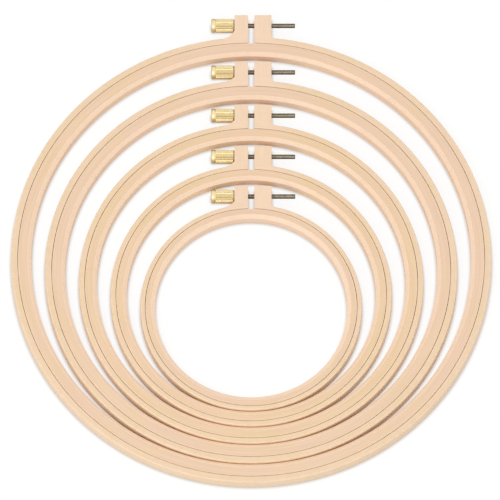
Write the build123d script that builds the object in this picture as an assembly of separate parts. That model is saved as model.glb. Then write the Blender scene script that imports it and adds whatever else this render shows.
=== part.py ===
from build123d import *
import os
from dataclasses import dataclass
from math import acos, atan2, cos, hypot, sin, sqrt, tau

# A nested set of five round embroidery hoops that lie flat, in millimetres.
# The origin is midway along the set's length on Y, and z = 0 is the plane the hoops lie on.
# The clamps point along +Y, each knob along -X and each screw's free end along +X.
# Hoop 1 is the largest. Every smaller hoop lies against the next larger one at -Y.

# The nest
set_diameter = 295.5
hoop_height = 8.6
lug_gap = 4.2
nest_clearance = 0.35

# Widths of the split outer ring and the plain inner ring of each hoop
hoop_1_outer_band = 4.0
hoop_1_inner_band = 8.2
hoop_2_outer_band = 4.0
hoop_2_inner_band = 8.2
hoop_3_outer_band = 3.4
hoop_3_inner_band = 7.3
hoop_4_outer_band = 3.2
hoop_4_inner_band = 6.5
hoop_5_outer_band = 2.8
hoop_5_inner_band = 5.9
fabric_clearance = 0.3

# Eased outer edge of the outer ring and sloped shoulder of the inner one
outer_edge_ease = 0.8
ease_angle = 45
shoulder_width = 2.2
shoulder_drop = 1.7

# Where the closed shape of each inner ring starts and ends, turned round from +X
hoop_1_seam_angle = 270
hoop_2_seam_angle = 0
hoop_3_seam_angle = 0
hoop_4_seam_angle = 240
hoop_5_seam_angle = 0

# Clamp lugs, and the flares that lead from the outer ring into them
knob_lug_width = 8.4
tail_lug_width = 10.6
slot_width = 3.9
largest_flare_radius = 9.0
flare_radius = 13.0
flare_clearance = 0.3
flare_fillet = 0.6
tail_fillet = 2.5

# Clamp screw, set so that the knob stands clear of the ring beside it
largest_knob_gap = 4.65
knob_gap = 2.35
screw_depth = 5.6
screw_diameter = 3.0
screw_tail = 14.6
screw_seat = 10.0
lug_bore_clearance = 0.2

# Knurled knob
knob_diameter = 8.7
knob_length = 13.8
knob_rim = 2.6
knob_rim_ease = 0.7
knob_lift = 0.1
flute_count = 22
flute_depth = 0.4

# Captive nut in the tail-side lug
nut_across_flats = 5.5
nut_thickness = 2.4
nut_thread_clearance = 0.05
pocket_clearance = 0.05

# Thrust washer between the knob and its lug
washer_diameter = 7.6
washer_thickness = 0.5
washer_bore_clearance = 0.08
running_clearance = 0.05

# How far cutting shapes run past what they cut
overrun = 1.0

screw_radius = screw_diameter / 2
knob_radius = knob_diameter / 2
screw_height = max(hoop_height / 2, knob_radius + knob_lift)
knob_lug_face = -slot_width / 2 - knob_lug_width
tail_lug_face = slot_width / 2 + tail_lug_width
washer_face = knob_lug_face - running_clearance - washer_thickness
knob_face = washer_face - running_clearance


@dataclass
class Hoop:
    """The sizes of one hoop, and where its circle's centre lies along Y."""

    name: str
    outer_band: float
    inner_band: float
    seam_angle: float
    knob_gap: float
    flare_radius: float
    outer_radius: float = 0.0
    centre_y: float = 0.0

    @property
    def bore_radius(self):
        """Inside of the outer ring."""
        return self.outer_radius - self.outer_band

    @property
    def inner_ring_radius(self):
        """Outside of the inner ring."""
        return self.bore_radius - fabric_clearance

    @property
    def field_radius(self):
        """Inside of the inner ring, where the fabric is worked."""
        return self.inner_ring_radius - self.inner_band

    @property
    def screw_reach(self):
        """Distance from the hoop's centre to the axis of its clamp screw."""
        return self.outer_radius + self.knob_gap + knob_radius

    @property
    def lug_reach(self):
        """How far the lugs stand out from the ring."""
        return self.knob_gap + knob_radius + screw_depth

    @property
    def lug_end(self):
        """Distance from the hoop's centre to the ends of its lugs."""
        return self.outer_radius + self.lug_reach

    @property
    def flare_end(self):
        """Point where the flare meets the knob-side lug, just clear of the knob."""
        return (knob_lug_face, self.screw_reach - knob_radius - flare_clearance)

    @property
    def centre(self):
        """The hoop's centre on the plane it lies on."""
        return Pos(0, self.centre_y, 0)

    @property
    def screw_plane(self):
        """Plane square to the clamp screw, with its normal along +X."""
        origin = (0, self.centre_y + self.screw_reach, screw_height)
        return Plane(origin=origin, x_dir=(0, 1, 0), z_dir=(1, 0, 0))


def nested_hoops():
    """Give each hoop the largest size that lies inside the next larger one."""
    hoops = [
        Hoop(
            "hoop_1",
            hoop_1_outer_band,
            hoop_1_inner_band,
            hoop_1_seam_angle,
            largest_knob_gap,
            largest_flare_radius,
        ),
        Hoop("hoop_2", hoop_2_outer_band, hoop_2_inner_band, hoop_2_seam_angle, knob_gap, flare_radius),
        Hoop("hoop_3", hoop_3_outer_band, hoop_3_inner_band, hoop_3_seam_angle, knob_gap, flare_radius),
        Hoop("hoop_4", hoop_4_outer_band, hoop_4_inner_band, hoop_4_seam_angle, knob_gap, flare_radius),
        Hoop("hoop_5", hoop_5_outer_band, hoop_5_inner_band, hoop_5_seam_angle, knob_gap, flare_radius),
    ]
    hoops[0].outer_radius = set_diameter / 2
    hoops[0].centre_y = -hoops[0].lug_reach / 2
    for larger, hoop in zip(hoops, hoops[1:]):
        free_length = 2 * larger.field_radius - nest_clearance - lug_gap
        hoop.outer_radius = (free_length - hoop.lug_reach) / 2
        hoop.centre_y = larger.centre_y - larger.field_radius + nest_clearance + hoop.outer_radius
    return hoops


def outer_ring(hoop):
    """Split ring with two lugs, a slot between them, the screw's bore and the nut's pocket."""
    lugs_width = tail_lug_face - knob_lug_face
    lugs = Pos((tail_lug_face + knob_lug_face) / 2, hoop.lug_end / 2) * Rectangle(lugs_width, hoop.lug_end)
    outline = Circle(hoop.outer_radius) + lugs
    foot_y = sqrt(hoop.outer_radius**2 - tail_lug_face**2)
    tail_side_foot = outline.vertices().sort_by_distance((tail_lug_face, foot_y))[0]
    outline = fillet(tail_side_foot, tail_fillet) + knob_side_flare(hoop)
    outline = fillet(outline.vertices().sort_by_distance(hoop.flare_end)[0], flare_fillet)
    wall_height = hoop_height - outer_edge_ease
    ring = extrude(outline, wall_height)
    ring += extrude(Pos(0, 0, wall_height) * outline, outer_edge_ease, taper=ease_angle)
    ring -= Pos(0, 0, -overrun) * extrude(Circle(hoop.bore_radius), hoop_height + 2 * overrun)

    slot_length = hoop.lug_reach + hoop.outer_band + 2 * overrun
    slot_y = (hoop.bore_radius + hoop.lug_end) / 2
    ring -= Pos(0, slot_y, hoop_height / 2) * Box(slot_width, slot_length, hoop_height + 2 * overrun)
    return hoop.centre * ring - hoop.screw_plane * clamp_bore()


def knob_side_flare(hoop):
    """Hollow ramp, tangent to the ring's outside, that leads up to the knob-side lug."""
    radius = hoop.outer_radius
    end_x, end_y = hoop.flare_end
    end_distance = hypot(end_x, end_y)
    hub_distance = radius + hoop.flare_radius
    cosine = (end_distance**2 + hub_distance**2 - hoop.flare_radius**2) / (2 * end_distance * hub_distance)
    start_angle = atan2(-end_x, end_y) + acos(cosine)
    start = (-radius * sin(start_angle), radius * cos(start_angle))
    ramp = TangentArc(start, hoop.flare_end, tangent=(cos(start_angle), sin(start_angle)))
    return make_face([ramp, Polyline(hoop.flare_end, (end_x, 0), start)])


def clamp_bore():
    """Cutting shape of the screw's way through both lugs, with the nut's pocket at its end."""
    bore_length = tail_lug_face - knob_lug_face + 2 * overrun
    bore = Pos(0, 0, knob_lug_face - overrun) * extrude(
        Circle(screw_radius + lug_bore_clearance), bore_length
    )
    pocket_start = tail_lug_face - nut_thickness - 2 * pocket_clearance
    pocket = Pos(0, 0, pocket_start) * extrude(
        RegularPolygon(nut_across_flats / 2 + pocket_clearance, 6, major_radius=False),
        tail_lug_face - pocket_start + overrun,
    )
    return bore + pocket


def inner_ring(hoop):
    """Plain ring that slips into the outer one, with a sloped shoulder round the field."""
    outside = hoop.inner_ring_radius
    inside = hoop.field_radius
    section = Polyline(
        (inside, 0),
        (outside, 0),
        (outside, hoop_height),
        (inside + shoulder_width, hoop_height),
        (inside, hoop_height - shoulder_drop),
        close=True,
    )
    ring = revolve(Plane.XZ * make_face(section), Axis.Z)
    return hoop.centre * Rot(0, 0, hoop.seam_angle) * ring


def clamp_screw(hoop):
    """Plain rod, seated in the knob and cut flat at its free end."""
    start = knob_face - screw_seat
    length = tail_lug_face + screw_tail - start
    return hoop.screw_plane * Pos(0, 0, start) * extrude(Circle(screw_radius), length)


def knob(hoop):
    """Knob with a smooth turned rim, a fluted barrel and a blind bore for the screw."""
    far_end = knob_face - knob_length
    barrel_start = far_end + knob_rim
    rim_section = Polyline(
        (0, far_end),
        (knob_radius - knob_rim_ease, far_end),
        (knob_radius, far_end + knob_rim_ease),
        (knob_radius, barrel_start),
        (0, barrel_start),
        close=True,
    )
    rim = revolve(Plane.XZ * make_face(rim_section), Axis.Z)
    barrel_section = make_face(Polyline(*fluted_outline(), close=True))
    barrel = Pos(0, 0, barrel_start) * extrude(barrel_section, knob_face - barrel_start)
    bore = Pos(0, 0, knob_face - screw_seat) * extrude(Circle(screw_radius), screw_seat + overrun)
    return hoop.screw_plane * (rim + barrel - bore)


def fluted_outline():
    """Points of the fluted section: the ridge and then the valley of each flute."""
    half_pitch = tau / flute_count / 2
    valley_radius = knob_radius - flute_depth
    points = []
    for flute in range(flute_count):
        ridge = 2 * flute * half_pitch
        valley = ridge + half_pitch
        points.append((knob_radius * cos(ridge), knob_radius * sin(ridge)))
        points.append((valley_radius * cos(valley), valley_radius * sin(valley)))
    return points


def nut(hoop):
    """Hexagonal nut held in the pocket, its flats level with the hoop's faces."""
    near_face = tail_lug_face - nut_thickness - pocket_clearance
    section = RegularPolygon(nut_across_flats / 2, 6, major_radius=False)
    section -= Circle(screw_radius + nut_thread_clearance)
    return hoop.screw_plane * Pos(0, 0, near_face) * extrude(section, nut_thickness)


def washer(hoop):
    """Flat washer that the knob bears on."""
    section = Circle(washer_diameter / 2) - Circle(screw_radius + washer_bore_clearance)
    return hoop.screw_plane * Pos(0, 0, washer_face) * extrude(section, washer_thickness)


pieces = {
    "outer_ring": outer_ring,
    "inner_ring": inner_ring,
    "clamp_screw": clamp_screw,
    "knob": knob,
    "nut": nut,
    "washer": washer,
}

os.makedirs("parts", exist_ok=True)
for hoop in nested_hoops():
    print(hoop.name, "outside", round(2 * hoop.outer_radius, 2), "field", round(2 * hoop.field_radius, 2))
    for piece_name, make_piece in pieces.items():
        export_step(make_piece(hoop), f"parts/{hoop.name}_{piece_name}.step")
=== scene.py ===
"""Dresses a nested set of five embroidery hoops.

Each hoop is a split outer ring with clamp lugs, a plain inner ring, a threaded screw, a knurled
brass knob, a hexagon nut and a washer. All sizes are in metres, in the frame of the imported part:
+Z up, +Y towards the clamps, +X along the screws from knob to free end.
"""

import logging
from dataclasses import dataclass
from enum import Enum
from functools import cache
from math import acos, atan2, cos, hypot, pi, radians, sin, sqrt, tan, tau
from typing import Any, NamedTuple

import bmesh
import bpy
from bpy.types import ID, Material, Mesh, Node, NodeTree, Object, World
from bpy.types import NodeSocket as Socket
from mathutils import Matrix, Vector


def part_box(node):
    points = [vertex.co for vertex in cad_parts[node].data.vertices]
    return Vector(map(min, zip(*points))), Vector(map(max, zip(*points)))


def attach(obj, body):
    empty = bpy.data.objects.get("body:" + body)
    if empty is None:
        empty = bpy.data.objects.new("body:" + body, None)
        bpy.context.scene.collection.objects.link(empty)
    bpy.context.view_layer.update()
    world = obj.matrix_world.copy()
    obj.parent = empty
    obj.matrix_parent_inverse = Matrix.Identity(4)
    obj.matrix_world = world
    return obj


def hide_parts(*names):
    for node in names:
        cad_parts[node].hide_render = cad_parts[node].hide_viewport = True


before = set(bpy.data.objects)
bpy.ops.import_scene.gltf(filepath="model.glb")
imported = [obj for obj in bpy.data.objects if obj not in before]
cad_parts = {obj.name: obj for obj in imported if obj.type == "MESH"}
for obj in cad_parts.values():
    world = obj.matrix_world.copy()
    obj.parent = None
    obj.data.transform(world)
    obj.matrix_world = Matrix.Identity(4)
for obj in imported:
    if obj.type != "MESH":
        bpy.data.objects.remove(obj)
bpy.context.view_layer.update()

MM = 0.001
# the mesh mark of edge wear and of the painted highlight on the plastic
WEAR_AND_HIGHLIGHT = "wear_and_highlight"
RELIEF = "relief"
# the bend at which the edge mark, part wear and part painted highlight, is full
FULL_WEAR_AND_HIGHLIGHT_BEND = radians(20)
SHARPEST_LEAN = 0.3
HEXAGON = 6
Z_TO_X = Matrix(((0, 0, 1, 0), (1, 0, 0, 0), (0, 1, 0, 0), (0, 0, 0, 1)))

log = logging.getLogger("embroidery_hoops")

Colour = tuple[float, float, float, float]
Numbers = tuple[float, ...]
Inputs = dict[str | int, Any]
Point = tuple[float, float, float]
Section = list[tuple[float, float]]
Shade = tuple[int, int, int]


def srgb(red: int, green: int, blue: int) -> Colour:
    """Turns a display colour into the linear colour that a shader takes.

    Args:
        red: Red from 0 to 255.
        green: Green from 0 to 255.
        blue: Blue from 0 to 255.

    Returns:
        The linear colour, with an alpha of 1.
    """
    linear = []
    for step in (red, green, blue):
        share = step / 255
        linear.append(share / 12.92 if share <= 0.04045 else ((share + 0.055) / 1.055) ** 2.4)
    return (*linear, 1.0)


WHITE = srgb(255, 255, 255)


# Node trees


def cleared(owner: Material | World) -> NodeTree:
    """Empties the node tree of a material or world.

    Args:
        owner: The material or world.

    Returns:
        Its empty tree.
    """
    owner.use_nodes = True
    owner.node_tree.nodes.clear()
    return owner.node_tree


class NodeWriter:
    """Adds nodes to a tree, sets their values and links their sockets."""

    def __init__(self, tree: NodeTree) -> None:
        """Keeps the tree that the nodes go into."""
        self.tree = tree

    def fill(self, node: Node, inputs: Inputs) -> None:
        """Sets or links a node's inputs.

        Args:
            node: The node.
            inputs: Values or sockets for its inputs, by name or number.
        """
        for name, value in inputs.items():
            if isinstance(value, Socket):
                self.tree.links.new(value, node.inputs[name])
            else:
                node.inputs[name].default_value = value

    def add(self, kind: str, inputs: Inputs | None = None, **settings: Any) -> Node:
        """Adds one node.

        Args:
            kind: The node's type name.
            inputs: Values or sockets for its inputs, by name or number.
            settings: The node's own properties.

        Returns:
            The new node.
        """
        node = self.tree.nodes.new(kind)
        for name, value in settings.items():
            setattr(node, name, value)
        self.fill(node, inputs or {})
        return node

    def out(self, kind: str, inputs: Inputs | None = None, **settings: Any) -> Socket:
        """Adds one node and gives its first output."""
        return self.add(kind, inputs, **settings).outputs[0]

    def math(self, operation: str, *values: Any) -> Socket:
        """Adds a Math node on numbers or sockets and gives its result."""
        return self.out("ShaderNodeMath", dict(enumerate(values)), operation=operation)

    def times(self, *values: Any) -> Socket:
        """Multiplies two values."""
        return self.math("MULTIPLY", *values)

    def less(self, *values: Any) -> Socket:
        """Takes the second value from the first."""
        return self.math("SUBTRACT", *values)

    def split(self, vector: Socket) -> Any:
        """Splits a vector into the sockets of its three parts."""
        return self.add("ShaderNodeSeparateXYZ", {0: vector}).outputs

    def join(self, x: Any, y: Any, z: Any) -> Socket:
        """Joins three values into a vector."""
        return self.out("ShaderNodeCombineXYZ", {0: x, 1: y, 2: z})

    def from_axis(self, x: Socket, y: Socket) -> Socket:
        """Distance of a place from the Z axis."""
        squares = [self.times(side, side) for side in (x, y)]
        return self.math("SQRT", self.math("ADD", *squares))

    def noise(self, place: Socket, scale: Any, detail: float, roughness: float) -> Socket:
        """Adds a noise texture, with finer layers of a given roughness, and gives its value."""
        inputs = {"Vector": place, "Scale": scale, "Detail": detail, "Roughness": roughness}
        return self.out("ShaderNodeTexNoise", inputs)

    def spread(self, value: Socket, low: float, high: float, to: tuple[Any, Any]) -> Socket:
        """Maps a value from low and high to another range, smoothly and clamped."""
        inputs = {"Value": value, "From Min": low, "From Max": high, "To Min": to[0], "To Max": to[1]}
        return self.out("ShaderNodeMapRange", inputs, interpolation_type="SMOOTHSTEP")

    def mix(self, factor: Any, first: Any, second: Any, blend: str = "MIX") -> Socket:
        """Mixes two colours, with as much of the second as the factor says."""
        inputs = {0: factor, 6: first, 7: second}
        return self.add("ShaderNodeMix", inputs, data_type="RGBA", blend_type=blend).outputs[2]


class NodeGroup(NodeWriter):
    """A node group with named inputs and outputs."""

    def __init__(self, name: str, kind: str, inputs: dict[str, str], outputs: dict[str, str]) -> None:
        """Makes the group and its sockets.

        Args:
            name: The group's name.
            kind: ShaderNodeTree or GeometryNodeTree.
            inputs: The type of each input, by name.
            outputs: The type of each output, by name.
        """
        super().__init__(bpy.data.node_groups.new(name, kind))
        for direction, sockets in (("INPUT", inputs), ("OUTPUT", outputs)):
            for socket, socket_kind in sockets.items():
                self.tree.interface.new_socket(
                    socket, in_out=direction, socket_type=f"NodeSocket{socket_kind}"
                )
        self.given = self.add("NodeGroupInput").outputs
        self.output = self.add("NodeGroupOutput")

    def give(self, **results: Socket) -> None:
        """Links results to the group's outputs of the same names."""
        self.fill(self.output, results)


@cache
def shared(kind: type[NodeGroup]) -> NodeTree:
    """Builds a node group that several nodes share, once, and gives its tree."""
    return kind().tree


# Geometry Nodes trees


class ShapeGroup(NodeGroup):
    """A Geometry Nodes tree that puts out one mesh with its material."""

    def __init__(self, name: str, inputs: dict[str, str]) -> None:
        """Makes the tree.

        Args:
            name: The tree's name.
            inputs: The type of each input, by name, but for the material.
        """
        inputs = inputs | {"Material": "Material"}
        super().__init__(name, "GeometryNodeTree", inputs, {"Geometry": "Geometry"})

    def own_place(self) -> Any:
        """Gives the three parts of each point's place."""
        return self.split(self.out("GeometryNodeInputPosition"))

    def moved(self, geometry: Socket, place: Socket) -> Socket:
        """Moves each point of a geometry to a place."""
        return self.out("GeometryNodeSetPosition", {"Geometry": geometry, "Position": place})

    def marked(self, geometry: Socket, relief: Socket) -> Socket:
        """Stores how far each point stands out, 1 on a ridge and 0 in a hollow."""
        inputs = {"Geometry": geometry, "Name": RELIEF, "Value": relief}
        return self.out("GeometryNodeStoreNamedAttribute", inputs, data_type="FLOAT", domain="POINT")

    def closed(self, geometry: Socket, distance: float) -> Socket:
        """Merges the points that lie within a distance and shades the faces smooth."""
        merged = self.out("GeometryNodeMergeByDistance", {"Geometry": geometry, "Distance": distance})
        return self.out("GeometryNodeSetShadeSmooth", {"Geometry": merged})

    def finish(self, geometry: Socket) -> None:
        """Makes a geometry real, gives it the material and puts it out.

        Args:
            geometry: The finished geometry.
        """
        real = self.out("GeometryNodeRealizeInstances", {"Geometry": geometry})
        inputs = {"Geometry": real, "Material": self.given["Material"]}
        self.give(Geometry=self.out("GeometryNodeSetMaterial", inputs))


class SweptSection(ShapeGroup):
    """Rounds the corners of a closed section and sweeps it round the Z axis."""

    INPUTS = {
        "Section": "Geometry",
        **dict.fromkeys(("Path radius", "Corner radius"), "Float"),
        **dict.fromkeys(("Path points", "Corner points"), "Int"),
    }
    MERGE_DISTANCE = 0.001 * MM

    def __init__(self) -> None:
        """Builds the tree."""
        super().__init__("Swept section", self.INPUTS)
        given = self.given
        corners = {
            "Curve": self.out("GeometryNodeMeshToCurve", {"Mesh": given["Section"]}),
            "Radius": given["Corner radius"],
            "Count": given["Corner points"],
            "Limit Radius": True,
        }
        rounded = self.out("GeometryNodeFilletCurve", corners, mode="POLY")
        turned = self.out("GeometryNodeTransform", {"Geometry": rounded, "Scale": (1.0, -1.0, 1.0)})
        circle = {"Resolution": given["Path points"], "Radius": given["Path radius"]}
        path = self.add("GeometryNodeCurvePrimitiveCircle", circle).outputs["Curve"]
        upright = self.out("GeometryNodeSetCurveNormal", {"Curve": path}, mode="Z_UP")
        swept = self.out("GeometryNodeCurveToMesh", {"Curve": upright, "Profile Curve": turned})
        self.finish(self.closed(swept, self.MERGE_DISTANCE))


class KnurledBarrel(ShapeGroup):
    """Sweeps a knob's section round the Z axis and cuts straight flutes into its barrel."""

    INPUTS = {
        "Flute count": "Int",
        **dict.fromkeys(("Knob radius", "Flute depth", "Flute start", "Flute end", "Run-out"), "Float"),
    }

    def __init__(self) -> None:
        """Builds the tree."""
        super().__init__("Knurled barrel", SweptSection.INPUTS | self.INPUTS)
        given = self.given
        passed = {name: given[name] for name in (*SweptSection.INPUTS, "Material")}
        turned = self.out("GeometryNodeGroup", passed, node_tree=shared(SweptSection))

        x, y, z = self.own_place()
        radius = self.from_axis(x, y)
        turn = self.math("DIVIDE", self.math("ARCTAN2", y, x), tau)
        # the phase runs from 0 to 1 in each flute, and the ridge value is 1 at its ends
        phase = self.math("FRACT", self.times(turn, given["Flute count"]))
        ridge = self.math("ABSOLUTE", self.math("MULTIPLY_ADD", phase, 2.0, -1.0))
        valley = self.less(given["Knob radius"], given["Flute depth"])
        outside = self.math("GREATER_THAN", radius, valley)
        ways = [self.less(z, given["Flute start"]), self.less(given["Flute end"], z)]
        along = self.math("MINIMUM", *(self.math("DIVIDE", way, given["Run-out"]) for way in ways))
        fluted = self.times(outside, self.out("ShaderNodeClamp", {"Value": along}))
        cut = self.times(fluted, self.less(1.0, ridge))
        depth = self.times(cut, given["Flute depth"])
        kept = self.less(1.0, self.math("DIVIDE", depth, given["Knob radius"]))
        marked = self.marked(turned, self.less(1.0, cut))
        place = self.join(self.times(x, kept), self.times(y, kept), z)
        self.finish(self.moved(marked, place))


class ThreadedRod(ShapeGroup):
    """A rod along +X with a right-handed helical thread, tapered and closed at both ends."""

    INPUTS = {
        "Source": "Geometry",
        **dict.fromkeys(("Length", "Crest radius", "Root radius", "End radius", "Pitch"), "Float"),
        **dict.fromkeys(("Rows", "Segments"), "Int"),
    }
    ROWS_PER_TURN = 4
    ROW_PLACES = (0.0, 0.125, 0.4375, 0.6875)
    ROW_CRESTS = (1.0, 1.0, 0.0, 0.0)
    MERGE_DISTANCE = 0.002 * MM

    def __init__(self) -> None:
        """Builds the tree."""
        super().__init__("Threaded rod", self.INPUTS)
        given = self.given
        size = {
            "Size X": 1.0,
            "Size Y": 1.0,
            "Vertices X": self.math("ADD", given["Rows"], 1.0),
            "Vertices Y": self.math("ADD", given["Segments"], 1.0),
        }
        # the grid is 1 wide and centred, so both shares start at minus a half
        grid = self.add("GeometryNodeMeshGrid", size).outputs["Mesh"]
        x, y, _ = self.own_place()
        along, around = (self.math("ADD", side, 0.5) for side in (x, y))
        row = self.math("ROUND", self.times(along, given["Rows"]))
        turn = self.math("FLOOR", self.math("DIVIDE", row, self.ROWS_PER_TURN))
        step = self.less(row, self.times(turn, self.ROWS_PER_TURN))
        crest = self.pick(step, self.ROW_CRESTS)
        started = self.math("ADD", turn, self.pick(step, self.ROW_PLACES))
        turns = self.math("ADD", started, self.less(around, 1.0))
        reach = self.times(turns, given["Pitch"])
        axial = self.math("MINIMUM", self.math("MAXIMUM", reach, 0.0), given["Length"])
        from_end = self.math("MINIMUM", axial, self.less(given["Length"], axial))
        height = self.less(given["Crest radius"], given["Root radius"])
        threaded = self.math("MULTIPLY_ADD", crest, height, given["Root radius"])
        radius = self.math("MINIMUM", threaded, self.math("ADD", given["End radius"], from_end))
        angle = self.times(around, tau)
        sides = [self.times(radius, self.math(way, angle)) for way in ("COSINE", "SINE")]
        wound = self.moved(self.marked(grid, crest), self.join(axial, *sides))
        both = self.add("GeometryNodeJoinGeometry", {0: wound})
        for end in (0.0, given["Length"]):
            circle = {"Vertices": given["Segments"], "Radius": given["End radius"]}
            disc = self.out("GeometryNodeMeshCircle", circle, fill_type="NGON")
            flat_x, flat_y, _ = self.own_place()
            self.fill(both, {0: self.moved(disc, self.join(end, flat_x, flat_y))})
        self.finish(self.closed(both.outputs[0], self.MERGE_DISTANCE))

    def pick(self, step: Socket, values: Numbers) -> Socket:
        """Picks the value of a row in its turn.

        Args:
            step: The row's number in its turn, as a socket.
            values: One value for each row of a turn.

        Returns:
            The picked value's socket.
        """
        node = self.add("GeometryNodeIndexSwitch", data_type="FLOAT")
        while len(node.index_switch_items) < len(values):
            node.index_switch_items.new()
        self.fill(node, {0: step} | dict(enumerate(values, 1)))
        return node.outputs[0]


# Shader groups that several finishes share


class PlasticFlow(NodeGroup):
    """Patches, flow streaks, grain and the lugs' place, of plastic that has run round a ring."""

    ROUND_SCALE = 3.0
    UP_LUG_SCALE = 60.0
    PATCH_SCALE = 34.0
    GRAIN_SCALE = 2600.0
    LUG_TINT_START = 11 * MM
    LUG_TINT_END = 26 * MM
    PATCH_LAYERS = (2.0, 0.5)
    GRAIN_LAYERS = (2.0, 0.6)
    PATCH_RANGE = (0.34, 0.66)
    STREAK_RANGE = (0.3, 0.7)

    def __init__(self) -> None:
        """Builds the group."""
        inputs = {"Vector": "Vector", "Lug distance": "Float", "Streak scale": "Float"}
        outputs = {name: "Float" for name in ("Patch", "Streak", "Grain", "Lug")}
        super().__init__("Plastic flow", "ShaderNodeTree", inputs, outputs)
        place, streak_scale = self.given["Vector"], self.given["Streak scale"]
        x, y, z = self.split(place)
        radius = self.from_axis(x, y)
        round_ring = self.join(
            self.times(self.math("DIVIDE", x, radius), self.ROUND_SCALE),
            self.times(self.math("DIVIDE", y, radius), self.ROUND_SCALE),
            self.times(radius, streak_scale),
        )
        up_lug = self.join(self.times(x, streak_scale), self.times(y, self.UP_LUG_SCALE), 0.0)
        on_lug = self.math("GREATER_THAN", radius, self.given["Lug distance"])
        line = self.add("ShaderNodeMix", {0: on_lug, 4: round_ring, 5: up_lug}, data_type="VECTOR")
        layers = {"Scale": 1.0, "Detail": 3.0, "Roughness": 0.6}
        along = {"Vector": line.outputs[1], "W": self.times(z, streak_scale)}
        streak = self.out("ShaderNodeTexNoise", along | layers, noise_dimensions="4D")
        patch = self.noise(place, self.PATCH_SCALE, *self.PATCH_LAYERS)
        from_slot = self.math("ABSOLUTE", x)
        near_slot = self.spread(from_slot, self.LUG_TINT_START, self.LUG_TINT_END, (1.0, 0.0))
        self.give(
            Patch=self.spread(patch, *self.PATCH_RANGE, (0.0, 1.0)),
            Streak=self.spread(streak, *self.STREAK_RANGE, (0.0, 1.0)),
            Grain=self.noise(place, self.GRAIN_SCALE, *self.GRAIN_LAYERS),
            Lug=self.times(near_slot, self.math("GREATER_THAN", y, 0.0)),
        )


class Wear(NodeGroup):
    """Breaks up a worn or polished place, so that it isn't even along an edge; on the plastic the same mask
    also carries a painted highlight.
    """

    BREAK_LAYERS = (4.0, 0.65)
    BREAK_RANGE = (0.35, 0.62)

    def __init__(self) -> None:
        """Builds the group."""
        inputs = {name: "Float" for name in ("Place", "Scale", "Least", "Amount")}
        super().__init__("Wear", "ShaderNodeTree", {"Vector": "Vector"} | inputs, {"Mask": "Float"})
        given = self.given
        noise = self.noise(given["Vector"], given["Scale"], *self.BREAK_LAYERS)
        broken = self.spread(noise, *self.BREAK_RANGE, (given["Least"], 1.0))
        worn = self.times(self.times(given["Place"], broken), given["Amount"])
        self.give(Mask=self.math("MINIMUM", worn, 1.0))


# Finishes


class Dresser(NodeWriter):
    """Writes the nodes of one material round its Principled BSDF."""

    def __init__(self, name: str) -> None:
        """Makes the material.

        Args:
            name: The material's name.
        """
        self.material = bpy.data.materials.new(name)
        super().__init__(cleared(self.material))
        self.shader = self.add("ShaderNodeBsdfPrincipled")
        self.add("ShaderNodeOutputMaterial", {"Surface": self.shader.outputs[0]})
        self.place = self.add("ShaderNodeTexCoord").outputs["Object"]

    def stored(self, name: str) -> Socket:
        """Reads a value that is stored in the mesh."""
        return self.add("ShaderNodeAttribute", attribute_name=name).outputs["Fac"]

    def worn(self, place: Socket, scale: float, least: float, amount: float) -> Socket:
        """Places the wear group and gives its mask."""
        inputs = {"Vector": self.place, "Place": place, "Scale": scale, "Least": least, "Amount": amount}
        return self.out("ShaderNodeGroup", inputs, node_tree=shared(Wear))

    def bump(self, height: Socket, strength: float, distance: float) -> Socket:
        """Turns a height into a normal."""
        inputs = {"Height": height, "Strength": strength, "Distance": distance}
        return self.out("ShaderNodeBump", inputs)


@dataclass(frozen=True)
class MouldedPlastic:
    """Satin moulded plastic, a little uneven in colour, with flow streaks and polished edges, which are
    lighter in colour by wear and by a painted highlight.
    """

    name: str
    rosy: Colour
    honey: Colour
    lug: Colour
    centre_y: float
    lug_distance: float
    # the colour of worn edges, which also paints a highlight along the edges and on the inner ring's
    # shoulder
    edge: Colour = srgb(254, 223, 194)
    roughness: float = 0.46
    roughness_spread: float = 0.05
    polish: float = 0.12
    streak_scale: float = 900.0
    streak_depths: tuple[float, float, float] = (0.97, 0.955, 0.93)
    streak_top: float = 1.02
    streak_relief: float = 0.6
    # the break-up and strength of the edge mark, which is part wear and part painted highlight
    wear_scale: float = 240.0
    least_wear: float = 0.55
    wear_and_highlight_amount: float = 0.9
    bump_strength: float = 0.35
    bump_depth: float = 0.02 * MM
    refraction: float = 1.49

    def material(self) -> Material:
        """Builds the material.

        Returns:
            The material.
        """
        nodes = Dresser(self.name)
        to_centre = {"Vector": nodes.place, "Location": (0.0, -self.centre_y, 0.0)}
        flow_inputs = {
            "Vector": nodes.out("ShaderNodeMapping", to_centre),
            "Lug distance": self.lug_distance,
            "Streak scale": self.streak_scale,
        }
        flow = nodes.add("ShaderNodeGroup", flow_inputs, node_tree=shared(PlasticFlow)).outputs
        streak = flow["Streak"]
        ring = nodes.mix(flow["Patch"], self.rosy, self.honey)
        base = nodes.mix(flow["Lug"], ring, self.lug)
        shades = [nodes.spread(streak, 0.0, 1.0, (low, self.streak_top)) for low in self.streak_depths]
        shade = nodes.out("ShaderNodeCombineColor", dict(enumerate(shades)))
        streaked = nodes.mix(1.0, base, shade, "MULTIPLY")
        # the edge mark lightens the colour towards the edge colour: partly wear, partly a painted highlight
        # on edges and on the inner ring's shoulder
        edge = nodes.stored(WEAR_AND_HIGHLIGHT)
        wear = nodes.worn(edge, self.wear_scale, self.least_wear, self.wear_and_highlight_amount)
        middle, reach = self.roughness, self.roughness_spread
        rough = nodes.spread(streak, 0.0, 1.0, (middle - reach, middle + reach))
        relief = nodes.math("ADD", flow["Grain"], nodes.times(streak, self.streak_relief))
        surface = {
            "Base Color": nodes.mix(wear, streaked, self.edge),
            "Roughness": nodes.less(rough, nodes.times(wear, self.polish)),
            "Normal": nodes.bump(relief, self.bump_strength, self.bump_depth),
            "IOR": self.refraction,
        }
        nodes.fill(nodes.shader, surface)
        return nodes.material


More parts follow.
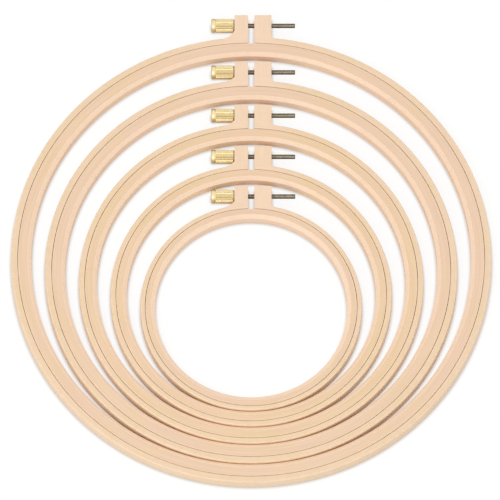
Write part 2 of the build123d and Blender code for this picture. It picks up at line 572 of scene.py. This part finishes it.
@dataclass(frozen=True)
class TurnedMetal:
    """Turned metal, bright on its ridges and dull in its hollows, with fine tool lines and painted shade on
    the sides that turn away from the camera.
    """

    name: str
    bright: Colour
    dull: Colour
    roughness: float
    dull_roughness: float
    # the colour of the painted shade on the sides that turn away from the camera
    side: Colour
    painted_shade_share: float
    painted_shade_start: float = 0.35
    painted_shade_width: float = 0.28
    wear_scale: float = 700.0
    least_wear: float = 0.2
    tool_lines: float = 9000.0
    line_strength: float = 0.12
    line_depth: float = 0.01 * MM

    def material(self) -> Material:
        """Builds the material.

        Returns:
            The material.
        """
        nodes = Dresser(self.name)
        hollow = nodes.less(1.0, nodes.stored(RELIEF))
        wear = nodes.worn(hollow, self.wear_scale, self.least_wear, 1.0)
        coloured = nodes.mix(wear, self.bright, self.dull)
        # painted shade: the sides that turn away from the camera are darkened towards the side colour
        away = nodes.add("ShaderNodeLayerWeight", {"Blend": 0.5}).outputs["Facing"]
        painted_shade_end = self.painted_shade_start + self.painted_shade_width
        painted_side_shade = nodes.spread(away, self.painted_shade_start, painted_shade_end, (0.0, self.painted_shade_share))
        along = nodes.times(nodes.split(nodes.place)[0], self.tool_lines)
        line_inputs = {"W": along, "Scale": 1.0, "Detail": 2.0}
        lines = nodes.out("ShaderNodeTexNoise", line_inputs, noise_dimensions="1D")
        surface = {
            "Base Color": nodes.mix(painted_side_shade, coloured, self.side),
            "Roughness": nodes.spread(wear, 0.0, 1.0, (self.roughness, self.dull_roughness)),
            "Metallic": 1.0,
            "Normal": nodes.bump(lines, self.line_strength, self.line_depth),
        }
        nodes.fill(nodes.shader, surface)
        return nodes.material


# the colour of the painted shade on the steel parts' sides
PAINTED_SHADE_BLACK = srgb(26, 17, 6)

# name, bright and dull colour, their roughness, the colour and share of the painted shade on the sides that
# turn away, where that shade starts
METALS = (
    TurnedMetal(
        "Knurled brass", srgb(232, 213, 166), srgb(211, 190, 142), 0.48, 0.54, srgb(160, 150, 116), 0.7
    ),
    TurnedMetal("Brass sheet", srgb(186, 160, 110), srgb(150, 122, 76), 0.4, 0.5, srgb(110, 88, 54), 0.6),
    TurnedMetal("Oiled steel", srgb(176, 164, 139), srgb(98, 88, 70), 0.34, 0.5, PAINTED_SHADE_BLACK, 0.98, 0.1),
    TurnedMetal("Plated steel", srgb(196, 193, 186), srgb(152, 148, 139), 0.3, 0.45, PAINTED_SHADE_BLACK, 0.3),
)


class Tint(NamedTuple):
    """Display colours of one hoop's plastic."""

    outer_rosy: Shade
    outer_honey: Shade
    inner_rosy: Shade
    inner_honey: Shade
    lug: Shade


class Tone(Enum):
    """The two tones that the hoops' plastic comes in."""

    ROSE = Tint((237, 208, 173), (235, 208, 166), (240, 207, 179), (239, 208, 173), (245, 214, 186))
    HONEY = Tint((238, 208, 170), (236, 208, 165), (240, 207, 173), (239, 208, 169), (244, 213, 180))


# Meshes


def placed(name: str, data: ID) -> Object:
    """Puts a mesh, a light or a camera into the scene.

    Args:
        name: The new object's name.
        data: What it shows.

    Returns:
        The object.
    """
    source = bpy.data.objects.new(name, data)
    bpy.context.scene.collection.objects.link(source)
    return source


def plain_mesh(source: Object) -> Mesh:
    """Evaluates an object's modifiers into a plain mesh and removes the object.

    Args:
        source: The object with its modifiers.

    Returns:
        The evaluated mesh.
    """
    bpy.context.view_layer.update()
    graph = bpy.context.evaluated_depsgraph_get()
    mesh = bpy.data.meshes.new_from_object(
        source.evaluated_get(graph), preserve_all_data_layers=True, depsgraph=graph
    )
    old = source.data
    bpy.data.objects.remove(source)
    bpy.data.meshes.remove(old)
    return mesh


def grown(tree: NodeTree, points: Section, values: dict[str, Any]) -> Mesh:
    """Runs a Geometry Nodes tree on a closed loop of edges.

    Args:
        tree: The tree.
        points: The loop's points in the XY plane.
        values: The tree's inputs by name.

    Returns:
        The tree's result as a plain mesh.
    """
    loop = bpy.data.meshes.new("loop")
    edges = [(i, (i + 1) % len(points)) for i in range(len(points))]
    loop.from_pydata([(x, y, 0.0) for x, y in points], edges, [])
    source = placed("loop", loop)
    modifier = source.modifiers.new("grow", "NODES")
    modifier.node_group = tree
    for item in tree.interface.items_tree:
        if item.in_out == "INPUT" and item.name in values:
            modifier[item.identifier] = values[item.name]
    return plain_mesh(source)


def swept(tree: NodeTree, section: Section, values: dict[str, Any]) -> Mesh:
    """Sweeps a section round the Z axis.

    Args:
        tree: The tree that sweeps it.
        section: The section's points, each a radius and a height.
        values: The tree's other inputs by name.

    Returns:
        The swept mesh.
    """
    radii = [radius for radius, _ in section]
    path = (min(radii) + max(radii)) / 2
    loop = [(radius - path, height) for radius, height in section]
    return grown(tree, loop, values | {"Path radius": path})


def lofted(rings: list[list[Point]], closed: bool = False) -> Mesh:
    """Joins rings of points with faces.

    Args:
        rings: The rings, all with the same number of points.
        closed: Whether the last ring joins the first one. If not, both get a flat face.

    Returns:
        The mesh.
    """
    shape = bmesh.new()
    rows = [[shape.verts.new(point) for point in ring] for ring in rings]
    for near, far in zip(rows, rows[1:] + (rows[:1] if closed else [])):
        for i in range(len(near)):
            shape.faces.new((near[i - 1], near[i], far[i], far[i - 1]))
    if not closed:
        shape.faces.new(rows[-1])
        shape.faces.new(reversed(rows[0]))
    mesh = bpy.data.meshes.new("lofted")
    shape.to_mesh(mesh)
    shape.free()
    return mesh


def around_x(x: float, radii: list[float]) -> list[Point]:
    """Points round the X axis at equal angles, one for each radius."""
    angles = [tau * i / len(radii) for i in range(len(radii))]
    return [(x, radius * cos(angle), radius * sin(angle)) for radius, angle in zip(radii, angles)]


def ready_piece(name: str, mesh: Mesh, place: Matrix, sharp: float) -> Object:
    """Places a mesh, turns its faces outwards and weights its normals.

    Args:
        name: The piece's name.
        mesh: The mesh, in its own coordinates.
        place: Where the piece goes.
        sharp: Angle in degrees past which an edge is sharp.

    Returns:
        The piece's object, at the origin.
    """
    mesh.transform(place)
    shape = bmesh.new()
    shape.from_mesh(mesh)
    stray = [edge for edge in shape.edges if not edge.link_faces]
    bmesh.ops.delete(shape, geom=stray, context="EDGES")
    if shape.calc_volume(signed=True) < 0:
        bmesh.ops.reverse_faces(shape, faces=shape.faces)
    # the edge mark: how sharply the faces bend at each point, which the plastic turns into edge wear and a
    # painted highlight
    wear = shape.verts.layers.float.get(WEAR_AND_HIGHLIGHT) or shape.verts.layers.float.new(WEAR_AND_HIGHLIGHT)
    for vertex in shape.verts:
        bend = max((edge.calc_face_angle(0.0) for edge in vertex.link_edges), default=0.0)
        vertex[wear] = min(bend / FULL_WEAR_AND_HIGHLIGHT_BEND, 1.0)
    open_edges = sum(1 for edge in shape.edges if not edge.is_manifold)
    shape.to_mesh(mesh)
    shape.free()
    mesh.polygons.foreach_set("use_smooth", [True] * len(mesh.polygons))
    mesh.set_sharp_from_angle(angle=radians(sharp))
    source = placed(name, mesh)
    source.modifiers.new("flat faces", "WEIGHTED_NORMAL").keep_sharp = True
    weighted = plain_mesh(source)
    weighted.name = name
    log.info("%s: %d faces, %d open edges", name, len(weighted.polygons), open_edges)
    return placed(name, weighted)


# Outlines


class Corner(NamedTuple):
    """A point of the split ring's outline, its rounding in plan and its edge's rounding."""

    x: float
    y: float
    fillet: float
    ease: float


def arc(centre: tuple[float, float], radius: float, start: float, end: float, count: int) -> Section:
    """Points on an arc between two angles, both ends included."""
    angles = [start + (end - start) * i / (count - 1) for i in range(count)]
    return [(centre[0] + radius * cos(a), centre[1] + radius * sin(a)) for a in angles]


def rounded_outline(corners: list[Corner], steps: int) -> list[tuple[Vector, float]]:
    """Rounds the corners of a closed outline that ask for it.

    Args:
        corners: The outline's points.
        steps: How many points a rounded corner gets.

    Returns:
        Each point of the rounded outline, with its edge's rounding.
    """
    points = []
    for i, corner in enumerate(corners):
        here = Vector(corner[:2])
        if not corner.fillet:
            points.append((here, corner.ease))
            continue
        back = (Vector(corners[i - 1][:2]) - here).normalized()
        ahead = (Vector(corners[(i + 1) % len(corners)][:2]) - here).normalized()
        half = back.angle(ahead) / 2
        trim = corner.fillet / tan(half)
        middle = here + (back + ahead).normalized() * (corner.fillet / sin(half))
        start, end = here + back * trim - middle, here + ahead * trim - middle
        for step in range(steps):
            turned = start.slerp(end, step / (steps - 1))
            points.append((middle + turned * corner.fillet, corner.ease))
    return points


def inward(outline: list[tuple[Vector, float]]) -> list[Vector]:
    """Finds, at each point of an outline, the way inwards by one unit of width.

    Args:
        outline: The points, with the solid on their left.

    Returns:
        One vector for each point.
    """
    ways = []
    for i, (here, _) in enumerate(outline):
        before, after = outline[i - 1][0], outline[(i + 1) % len(outline)][0]
        first, second = (here - before).normalized(), (after - here).normalized()
        left = Vector((-first.y - second.y, first.x + second.x)).normalized()
        ways.append(left / max(left.dot(Vector((-first.y, first.x))), SHARPEST_LEAN))
    return ways


# Pieces


@dataclass(frozen=True)
class Edges:
    """How far the moulded rings' edges are rounded, and how finely."""

    ring: float = 1.0 * MM
    lug: float = 0.25 * MM
    bore: float = 0.15 * MM
    underside: float = 0.35 * MM
    lug_corner: float = 0.5 * MM
    flare_corner: float = 0.6 * MM
    inner_ring: float = 0.22 * MM
    steps: int = 5
    inner_steps: int = 4
    inner_lap: float = 3.0
    outside_points: int = 420
    bore_points: int = 380
    flare_points: int = 12
    fillet_points: int = 9
    inner_points: int = 400


@dataclass(frozen=True)
class ClampSizes:
    """Sizes of the clamps, which are the same on every hoop."""

    slot_width: float = 3.9 * MM
    knob_lug_face: float = -10.35 * MM
    tail_lug_face: float = 12.55 * MM
    tail_fillet: float = 2.5 * MM
    flare_clearance: float = 0.3 * MM
    lug_start: float = 1.5 * MM
    bore_radius: float = 1.7 * MM
    bore_sides: int = 48
    countersink: float = 0.2 * MM
    pocket_half_width: float = 2.8 * MM
    pocket_depth: float = 2.5 * MM
    overrun: float = 1.0 * MM


@dataclass
class Hoop:
    """One hoop of the set, with its place and the sizes that its CAD boxes don't give."""

    name: str
    tone: Tone
    outer_band: float
    inner_band: float
    flare_radius: float
    shoulder_width: float = 2.2 * MM
    shoulder_drop: float = 1.7 * MM
    # the shoulder's mark and its margin: smoother, and lighter by a painted highlight
    shoulder_polish_and_highlight: float = 1.5
    polish_and_highlight_margin: float = 0.1 * MM
    sharp: float = 40.0
    edges: Edges = Edges()
    clamp: ClampSizes = ClampSizes()

    def __post_init__(self) -> None:
        """Reads the hoop's place from the CAD frame."""
        low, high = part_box(f"{self.name}_outer_ring")
        self.outer_radius = (high.x - low.x) / 2
        self.centre_y = low.y + self.outer_radius
        self.lug_end = high.y - self.centre_y
        self.height = high.z
        self.bore_radius = self.outer_radius - self.outer_band
        knob_low, knob_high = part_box(f"{self.name}_knob")
        self.knob_radius = (knob_high.z - knob_low.z) / 2
        self.screw_y = (knob_low.y + knob_high.y) / 2
        self.screw_z = (knob_low.z + knob_high.z) / 2
        self.centred = Matrix.Translation((0.0, self.centre_y, 0.0))
        self.on_screw = Matrix.Translation((0.0, self.screw_y, self.screw_z))
        self.swept_on_screw = self.on_screw @ Z_TO_X

    def outline(self) -> list[Corner]:
        """Draws the split ring's outline, anticlockwise from the knob-side lug.

        Returns:
            The outline's points.
        """
        clamp, edges, radius = self.clamp, self.edges, self.outer_radius
        half_slot, top = clamp.slot_width / 2, self.lug_end
        left, right = clamp.knob_lug_face, clamp.tail_lug_face
        corners = [Corner(x, top, edges.lug_corner, edges.lug) for x in (-half_slot, left)]

        flare_y = self.screw_y - self.centre_y - self.knob_radius - clamp.flare_clearance
        reach, hub = hypot(left, flare_y), radius + self.flare_radius
        cosine = (reach**2 + hub**2 - self.flare_radius**2) / (2 * reach * hub)
        lean = atan2(-left, flare_y) + acos(cosine)
        centre = (-hub * sin(lean), hub * cos(lean))
        start = atan2(flare_y - centre[1], left - centre[0])
        flare = arc(centre, self.flare_radius, start, lean - pi / 2, edges.flare_points)
        corners.append(Corner(*flare[0], edges.flare_corner, edges.lug))
        corners += self.eased(flare, edges.lug, edges.ring)[1:-1]

        fillet = clamp.tail_fillet
        fillet_y = sqrt((radius + fillet) ** 2 - (right + fillet) ** 2)
        meet = atan2(fillet_y, right + fillet)
        around = arc((0.0, 0.0), radius, pi / 2 + lean, tau + meet, edges.outside_points)
        corners += self.eased(around, edges.ring, edges.ring)
        foot = arc((right + fillet, fillet_y), fillet, pi + meet, pi, edges.fillet_points)
        corners += self.eased(foot, edges.ring, edges.lug)[1:]
        corners += [Corner(x, top, edges.lug_corner, edges.lug) for x in (right, half_slot)]

        first = atan2(sqrt(self.bore_radius**2 - half_slot**2), half_slot)
        inside = arc((0.0, 0.0), self.bore_radius, first, pi - first - tau, edges.bore_points)
        bore = self.eased(inside, edges.bore, edges.bore)
        ends = [end._replace(fillet=edges.lug_corner) for end in (bore[0], bore[-1])]
        return corners + [ends[0], *bore[1:-1], ends[1]]

    @staticmethod
    def eased(points: Section, first: float, last: float) -> list[Corner]:
        """Gives an arc's points an edge rounding that runs from one size to another."""
        shares = [i / (len(points) - 1) for i in range(len(points))]
        return [Corner(*point, 0.0, first + (last - first) * share) for point, share in zip(points, shares)]

    def cutters(self) -> list[Object]:
        """Makes the cutting shapes of the screw's way through both lugs and of the nut's pocket.

        Returns:
            The two shapes.
        """
        clamp = self.clamp
        ease, narrow = clamp.countersink, clamp.bore_radius
        wide, slot = narrow + ease, clamp.slot_width / 2
        near, beyond = clamp.knob_lug_face, clamp.tail_lug_face + clamp.overrun
        bore = [
            (near - clamp.overrun, wide), (near, wide), (near + ease, narrow), (-slot - ease, narrow),
            (-slot, wide), (slot, wide), (slot + ease, narrow), (beyond, narrow),
        ]
        corner = clamp.pocket_half_width / cos(pi / HEXAGON)
        pocket = [(clamp.tail_lug_face - clamp.pocket_depth, corner), (beyond, corner)]
        shapes = []
        for stations, sides in ((bore, clamp.bore_sides), (pocket, HEXAGON)):
            mesh = lofted([around_x(x, [radius] * sides) for x, radius in stations])
            mesh.transform(self.on_screw)
            shapes.append(placed("cutter", mesh))
        return shapes

    def split_ring(self) -> None:
        """Builds the outer ring with its lugs, slot, bore and pocket."""
        outline = rounded_outline(self.outline(), self.edges.steps)
        ways = inward(outline)
        quarter = [i / self.edges.steps * pi / 2 for i in range(self.edges.steps + 1)]
        levels = [(1 - sin(a), 1 - cos(a), False) for a in quarter]
        levels += [(1 - cos(a), 1 - sin(a), True) for a in quarter]
        rings = []
        for inset, drop, upper in levels:
            ring = []
            for (point, ease), way in zip(outline, ways):
                size = ease if upper else min(ease, self.edges.underside)
                height = self.height - size * drop if upper else size * drop
                ring.append((*(point + way * size * inset), height))
            rings.append(ring)
        mesh = lofted(rings)
        mesh.transform(self.centred)
        source = placed("ring", mesh)
        cutters = self.cutters()
        for cutter in cutters:
            modifier = source.modifiers.new("cut", "BOOLEAN")
            modifier.operation, modifier.solver, modifier.object = "DIFFERENCE", "EXACT", cutter
        cut = plain_mesh(source)
        for cutter in cutters:
            bpy.data.objects.remove(cutter)
        piece = ready_piece(f"{self.name}_split_ring", cut, Matrix.Identity(4), self.sharp)
        tint = self.tone.value
        finish = self.plastic("outer", tint.outer_rosy, tint.outer_honey, tint.lug)
        self.dress(piece, finish.material(), "outer_ring", "frame", "outer_ring_plastic")

    def plain_ring(self) -> None:
        """Builds the inner ring with its sloped shoulder."""
        low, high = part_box(f"{self.name}_inner_ring")
        edges, top = self.edges, self.height
        outside, ease = (high.x - low.x) / 2, edges.inner_ring
        inside = outside - self.inner_band
        shoulder, lap = inside + self.shoulder_width, ease * edges.inner_lap
        section = [
            (inside, 0.0), (inside + lap, 0.0), (outside - lap, 0.0), (outside, 0.0),
            (outside, lap), (outside, top - lap), (outside, top), (outside - lap, top),
            (shoulder + lap / 2, top), (shoulder, top), (inside, top - self.shoulder_drop), (inside, lap),
        ]
        values = {
            "Path points": edges.inner_points,
            "Corner radius": ease,
            "Corner points": edges.inner_steps,
        }
        mesh = swept(shared(SweptSection), section, values)
        piece = ready_piece(f"{self.name}_plain_ring", mesh, self.centred, self.sharp)
        self.mark_shoulder_polish_and_highlight(piece.data, inside)
        tint = self.tone.value
        finish = self.plastic("inner", tint.inner_rosy, tint.inner_honey, tint.inner_rosy)
        self.dress(piece, finish.material(), "inner_ring", "inner", "inner_ring_plastic")

    def mark_shoulder_polish_and_highlight(self, mesh: Mesh, inside: float) -> None:
        """Marks the inner ring's shoulder as smoother, as if polished by cloth and fingers, and lighter in
        colour, which is a painted highlight.

        Args:
            mesh: The ring's mesh, in place.
            inside: The ring's inside radius.
        """
        widest = inside + self.shoulder_width + self.polish_and_highlight_margin
        lowest = self.height - self.shoulder_drop - self.polish_and_highlight_margin
        for vertex, mark in zip(mesh.vertices, mesh.attributes[WEAR_AND_HIGHLIGHT].data):
            if vertex.co.z > lowest and hypot(vertex.co.x, vertex.co.y - self.centre_y) < widest:
                mark.value = self.shoulder_polish_and_highlight

    def plastic(self, ring: str, *shades: Shade) -> MouldedPlastic:
        """Gives the plastic of one ring: its rosy, its honey and its lugs' display colour."""
        name, lugs = f"{self.name} {ring} ring plastic", self.outer_radius + self.clamp.lug_start
        return MouldedPlastic(name, *(srgb(*shade) for shade in shades), self.centre_y, lugs)

    def dress(self, piece: Object, material: Material, node: str, body: str, slot: str) -> None:
        """Gives a piece its material and ties it to its body.

        Args:
            piece: The piece.
            material: Its material.
            node: The CAD node that it stands for, without the hoop's name.
            body: The body that it rides on, without the hoop's name.
            slot: The record's material slot; not used.
        """
        piece.data.materials.clear()
        piece.data.materials.append(material)
        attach(piece, f"{self.name}_{body}")
        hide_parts(f"{self.name}_{node}")

    def build(self, metals: dict[str, Material]) -> None:
        """Builds all the hoop's pieces.

        Args:
            metals: The metal parts' materials, by name.
        """
        self.split_ring()
        self.plain_ring()
        Clamp(self, metals).build()


@dataclass
class Clamp:
    """The metal parts of one hoop's clamp."""

    hoop: Hoop
    metals: dict[str, Material]
    pitch: float = 0.5 * MM
    thread_depth: float = 0.18 * MM
    end_radius: float = 1.12 * MM
    thread_segments: int = 24
    spare_turns: int = 2
    thread_sharp: float = 60.0
    rim_length: float = 2.6 * MM
    rim_ease: float = 0.7 * MM
    rim_shoulder: float = 0.3
    groove: float = 0.35 * MM
    flute_count: int = 22
    flute_depth: float = 0.4 * MM
    points_per_flute: int = 6
    knob_corner: float = 0.12 * MM
    corner_steps: int = 3
    knob_sharp: float = 35.0
    screw_seat: float = 10.0 * MM
    washer_bore: float = 1.58 * MM
    washer_corner: float = 0.1 * MM
    washer_points: int = 96
    washer_sharp: float = 40.0
    nut_bore: float = 1.5 * MM
    nut_sides: int = 72
    nut_depths: Numbers = (0.0, 0.1 * MM, 0.2 * MM, 0.32 * MM)
    chamfer_start: float = 0.97
    chamfer_slope: float = 1.8
    bore_chamfer: float = 0.15 * MM
    bore_opening: float = 0.2 * MM
    bore_clearance: float = 0.05 * MM
    nut_sharp: float = 25.0

    def __post_init__(self) -> None:
        """Reads the screw's place from the CAD frame."""
        self.screw_low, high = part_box(f"{self.hoop.name}_clamp_screw")
        self.screw_length = high.x - self.screw_low.x
        self.screw_radius = (high.z - self.screw_low.z) / 2

    def build(self) -> None:
        """Builds the four metal parts."""
        self.screw()
        self.knob()
        self.nut()
        self.washer()

    def screw(self) -> None:
        """Builds the threaded screw."""
        hoop, radius = self.hoop, self.screw_radius
        turns = int(self.screw_length / self.pitch) + self.spare_turns
        values = {
            "Length": self.screw_length,
            "Crest radius": radius,
            "Root radius": radius - self.thread_depth,
            "End radius": self.end_radius,
            "Pitch": self.pitch,
            "Rows": turns * ThreadedRod.ROWS_PER_TURN,
            "Segments": self.thread_segments,
        }
        mesh = grown(shared(ThreadedRod), [(0.0, 0.0), (radius, 0.0), (0.0, radius)], values)
        place = Matrix.Translation((self.screw_low.x, hoop.screw_y, hoop.screw_z))
        piece = ready_piece(f"{hoop.name}_threaded_screw", mesh, place, self.thread_sharp)
        hoop.dress(piece, self.metals["Oiled steel"], "clamp_screw", "screw", "screw_steel")

    def knob(self) -> None:
        """Builds the knurled knob with its smooth rim."""
        hoop = self.hoop
        low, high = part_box(f"{hoop.name}_knob")
        start, end, radius = low.x, high.x, hoop.knob_radius
        barrel, seat = start + self.rim_length, end - self.screw_seat
        ease, groove = self.rim_ease, self.groove
        step = ease * self.rim_shoulder
        section = [
            (0.0, start), (radius - ease, start), (radius - step, start + step), (radius, start + ease),
            (radius, barrel - groove), (radius - groove, barrel), (radius, barrel + groove),
            (radius, end - groove), (radius - groove, end), (self.screw_radius, end),
            (self.screw_radius, seat), (0.0, seat),
        ]
        values = {
            "Path points": self.flute_count * self.points_per_flute,
            "Corner radius": self.knob_corner,
            "Corner points": self.corner_steps,
            "Knob radius": radius,
            "Flute count": self.flute_count,
            "Flute depth": self.flute_depth,
            "Flute start": barrel,
            "Flute end": end,
            "Run-out": groove,
        }
        mesh = swept(shared(KnurledBarrel), section, values)
        piece = ready_piece(f"{hoop.name}_knurled_knob", mesh, hoop.swept_on_screw, self.knob_sharp)
        hoop.dress(piece, self.metals["Knurled brass"], "knob", "screw", "knob_brass")

    def washer(self) -> None:
        """Builds the washer between knob and lug."""
        hoop = self.hoop
        low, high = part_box(f"{hoop.name}_washer")
        outside, inside = (high.z - low.z) / 2, self.washer_bore
        section = [(inside, low.x), (outside, low.x), (outside, high.x), (inside, high.x)]
        values = {
            "Path points": self.washer_points,
            "Corner radius": self.washer_corner,
            "Corner points": self.corner_steps,
        }
        mesh = swept(shared(SweptSection), section, values)
        piece = ready_piece(f"{hoop.name}_thrust_washer", mesh, hoop.swept_on_screw, self.washer_sharp)
        hoop.dress(piece, self.metals["Brass sheet"], "washer", "carriage", "washer_brass")

    def nut(self) -> None:
        """Builds the hexagon nut with its chamfered corners."""
        hoop, sides = self.hoop, self.nut_sides
        low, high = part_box(f"{hoop.name}_nut")
        flats, thickness = (high.z - low.z) / 2, high.x - low.x
        to_flats = [tau * i / sides % (tau / HEXAGON) - pi / HEXAGON for i in range(sides)]
        depths = [*self.nut_depths, thickness / 2]
        rings = []
        for x in depths + [thickness - depth for depth in reversed(self.nut_depths)]:
            reach = flats * self.chamfer_start + min(x, thickness - x) * self.chamfer_slope
            rings.append(around_x(low.x + x, [min(flats / cos(angle), reach) for angle in to_flats]))
        narrow, wide = self.nut_bore + self.bore_clearance, self.nut_bore + self.bore_opening
        chamfer = self.bore_chamfer
        bore = ((thickness, wide), (thickness - chamfer, narrow), (chamfer, narrow), (0.0, wide))
        rings += [around_x(low.x + x, [radius] * sides) for x, radius in bore]
        mesh = lofted(rings, closed=True)
        piece = ready_piece(f"{hoop.name}_hexagon_nut", mesh, hoop.on_screw, self.nut_sharp)
        hoop.dress(piece, self.metals["Plated steel"], "nut", "frame", "nut_steel")


# Studio


def aimed(source: Object, place: Vector, way: Vector) -> None:
    """Puts a lamp or camera in its place and turns it.

    Args:
        source: The lamp or camera.
        place: Where it stands.
        way: The direction that it looks in.
    """
    source.location = place
    source.rotation_mode = "QUATERNION"
    source.rotation_quaternion = way.to_track_quat("-Z", "Y")


@dataclass(frozen=True)
class Lamp:
    """A square area lamp that points at the middle of the set."""

    name: str
    place: tuple[float, float, float]
    size: float
    level: float

    def build(self) -> None:
        """Adds the lamp, with the power that gives its level on a face turned to it."""
        light = bpy.data.lights.new(self.name, "AREA")
        light.size = self.size
        place = Vector(self.place)
        light.energy = self.level * pi * pi * place.length_squared
        aimed(placed(self.name, light), place, -place)


@dataclass(frozen=True)
class Studio:
    """The camera, the pale floor, the sky and the lamps."""

    elevation: float = 68.0
    lens: float = 900.0
    sensor: float = 36.0
    picture_width: float = 307.7 * MM
    clip_shares: tuple[float, float] = (0.1, 10.0)
    aim: tuple[float, float, float] = (-0.74 * MM, -0.3 * MM, 4.3 * MM)
    floor_size: float = 6.0
    floor_drop: float = 0.3 * MM
    floor_colour: Colour = (0.95, 0.95, 0.95, 1.0)
    sky_level: float = 0.66
    shadow_share: float = 0.14
    glow_share: float = 0.9
    contact_reach: float = 2.0 * MM
    contact_samples: int = 12
    contact_shade: Colour = srgb(150, 118, 84)
    lamps: tuple[Lamp, ...] = (
        Lamp("key lamp", (-0.7, -1.1, 1.9), 1.1, 0.32),
        Lamp("back lamp", (0.9, 1.2, 1.6), 1.0, 0.10),
    )

    def camera(self) -> None:
        """Adds the camera at the photograph's viewing angle."""
        data = bpy.data.cameras.new("camera")
        data.lens, data.sensor_width = self.lens, self.sensor
        distance = self.picture_width * self.lens / self.sensor
        data.clip_start, data.clip_end = (distance * share for share in self.clip_shares)
        angle = radians(self.elevation)
        back = Vector((0.0, -cos(angle), sin(angle)))
        camera = placed("camera", data)
        aimed(camera, Vector(self.aim) + back * distance, -back)
        bpy.context.scene.camera = camera

    def shown_apart(self, nodes: NodeWriter, lit: Socket, shown: Socket) -> Socket:
        """Shows one shader to the camera and to metal, and lights the object by another.

        Args:
            nodes: The writer of the tree.
            lit: The shader that lights the object.
            shown: The shader that is seen.

        Returns:
            The mixed shader.
        """
        rays = nodes.add("ShaderNodeLightPath").outputs
        seen = nodes.math("MAXIMUM", rays["Is Camera Ray"], rays["Is Glossy Ray"])
        seen = nodes.math("MAXIMUM", seen, rays["Is Transmission Ray"])
        return nodes.out("ShaderNodeMixShader", {0: seen, 1: lit, 2: shown})

    def sky(self) -> None:
        """Adds an even white sky, which lights less than it shows."""
        world = bpy.data.worlds.new("sky")
        bpy.context.scene.world = world
        nodes = NodeWriter(cleared(world))
        lit, shown = (
            nodes.out("ShaderNodeBackground", {"Color": WHITE, "Strength": strength})
            for strength in (self.sky_level, 1.0)
        )
        nodes.add("ShaderNodeOutputWorld", {"Surface": self.shown_apart(nodes, lit, shown)})

    def floor(self) -> None:
        """Adds a white floor that keeps a faint shadow, and a darker one close to the object."""
        half, down = self.floor_size / 2, -self.floor_drop
        mesh = bpy.data.meshes.new("floor")
        corners = [(-half, -half, down), (half, -half, down), (half, half, down), (-half, half, down)]
        mesh.from_pydata(corners, [], [(0, 1, 2, 3)])
        floor = placed("floor", mesh)
        material = bpy.data.materials.new("White floor")
        nodes = NodeWriter(cleared(material))
        plain, faint = (
            nodes.out("ShaderNodeBsdfDiffuse", {"Color": colour})
            for colour in (self.floor_colour, (self.shadow_share,) * 3 + (1.0,))
        )
        reach = {"Distance": self.contact_reach}
        near = nodes.add("ShaderNodeAmbientOcclusion", reach, samples=self.contact_samples)
        shade = nodes.mix(near.outputs["AO"], self.contact_shade, WHITE)
        strength = 1.0 - self.shadow_share * self.glow_share
        glow = nodes.out("ShaderNodeEmission", {"Color": shade, "Strength": strength})
        both = nodes.out("ShaderNodeAddShader", {0: faint, 1: glow})
        nodes.add("ShaderNodeOutputMaterial", {"Surface": self.shown_apart(nodes, plain, both)})
        mesh.materials.append(material)

    def build(self) -> None:
        """Builds the whole studio."""
        self.camera()
        self.sky()
        self.floor()
        for lamp in self.lamps:
            lamp.build()
        bpy.context.scene.view_settings.view_transform = "Standard"


# name, tone, outer band, inner band, radius of the flare
HOOPS = (
    ("hoop_1", Tone.ROSE, 4.0 * MM, 8.2 * MM, 9.0 * MM),
    ("hoop_2", Tone.ROSE, 4.0 * MM, 8.2 * MM, 13.0 * MM),
    ("hoop_3", Tone.HONEY, 3.4 * MM, 7.3 * MM, 13.0 * MM),
    ("hoop_4", Tone.HONEY, 3.2 * MM, 6.5 * MM, 13.0 * MM),
    ("hoop_5", Tone.ROSE, 2.8 * MM, 5.9 * MM, 13.0 * MM),
)


def main() -> None:
    """Builds the set and the studio round it."""
    logging.basicConfig(level=logging.INFO, format="%(name)s: %(message)s")
    Studio().build()
    metals = {finish.name: finish.material() for finish in METALS}
    for sizes in HOOPS:
        hoop = Hoop(*sizes)
        hoop.build(metals)
        log.info("%s: %.1f mm outside", hoop.name, 2 * hoop.outer_radius / MM)


if __name__ == "__main__":
    main()
